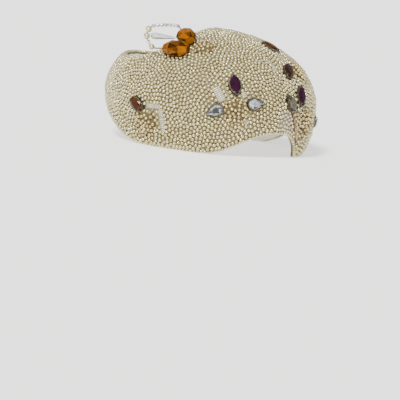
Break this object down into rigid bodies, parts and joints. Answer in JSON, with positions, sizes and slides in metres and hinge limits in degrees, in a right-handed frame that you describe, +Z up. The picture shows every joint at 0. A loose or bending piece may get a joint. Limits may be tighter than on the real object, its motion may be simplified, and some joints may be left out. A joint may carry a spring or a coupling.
{
  "type": "beaded headdress cap",
  "caption": "Pearl-covered stiff headdress cap with a brow tongue, ear lobes, an open back crown and flowers of cut stones, gold beads and amber beads.",
  "frame": {"origin": "middle of the foot of the bounding box, on the surface that the cap stands on", "axes": "+Z up; -Y towards the wearer's front, where the brow tongue is; -X towards the wearer's right"},
  "size_m": [0.1608, 0.183, 0.1016],
  "materials": {
    "beaded_cloth": "stiffened ivory net under the bead work",
    "gold_beads": "small gold-lined beads with dark gaps",
    "setting_metal": "aged silver-coloured claw settings",
    "brown_glass": "polished red-brown cut glass",
    "purple_glass": "polished dark purple cut glass",
    "smoke_glass": "polished dark brown cut glass",
    "clear_glass": "polished clear cut glass",
    "amber_glass": "polished amber cut glass",
    "pearls": "ivory imitation pearl"
  },
  "bodies": {
    "root": {"cap": "beaded_cloth", "ear_cluster_right": "gold_beads", "ear_cluster_left": "gold_beads", "temple_cluster_right": "gold_beads", "temple_cluster_left": "gold_beads", "crown_cluster_right": "gold_beads", "crown_cluster_left": "gold_beads", "brow_cluster": "gold_beads", "forehead_cluster": "gold_beads", "ear_navette_setting_right": "setting_metal", "ear_navette_setting_left": "setting_metal", "temple_navette_setting_right": "setting_metal", "temple_navette_setting_left": "setting_metal", "temple_back_drop_setting_right": "setting_metal", "temple_back_drop_setting_left": "setting_metal", "temple_front_drop_setting_right": "setting_metal", "temple_front_drop_setting_left": "setting_metal", "brow_navette_setting": "setting_metal", "brow_right_drop_setting": "setting_metal", "brow_left_drop_setting": "setting_metal", "forehead_navette_setting": "setting_metal", "forehead_side_navette_setting": "setting_metal", "ear_navette_stone_right": "brown_glass", "ear_navette_stone_left": "brown_glass", "forehead_navette_stone": "brown_glass", "temple_navette_stone_right": "purple_glass", "temple_navette_stone_left": "purple_glass", "brow_navette_stone": "purple_glass", "forehead_side_navette_stone": "smoke_glass", "temple_back_drop_stone_right": "clear_glass", "temple_back_drop_stone_left": "clear_glass", "temple_front_drop_stone_right": "clear_glass", "temple_front_drop_stone_left": "clear_glass", "brow_right_drop_stone": "clear_glass", "brow_left_drop_stone": "clear_glass", "bead_loop": "clear_glass", "crystal_drop": "clear_glass", "amber_upper": "amber_glass", "amber_lower": "amber_glass"}
  },
  "joints": []
}
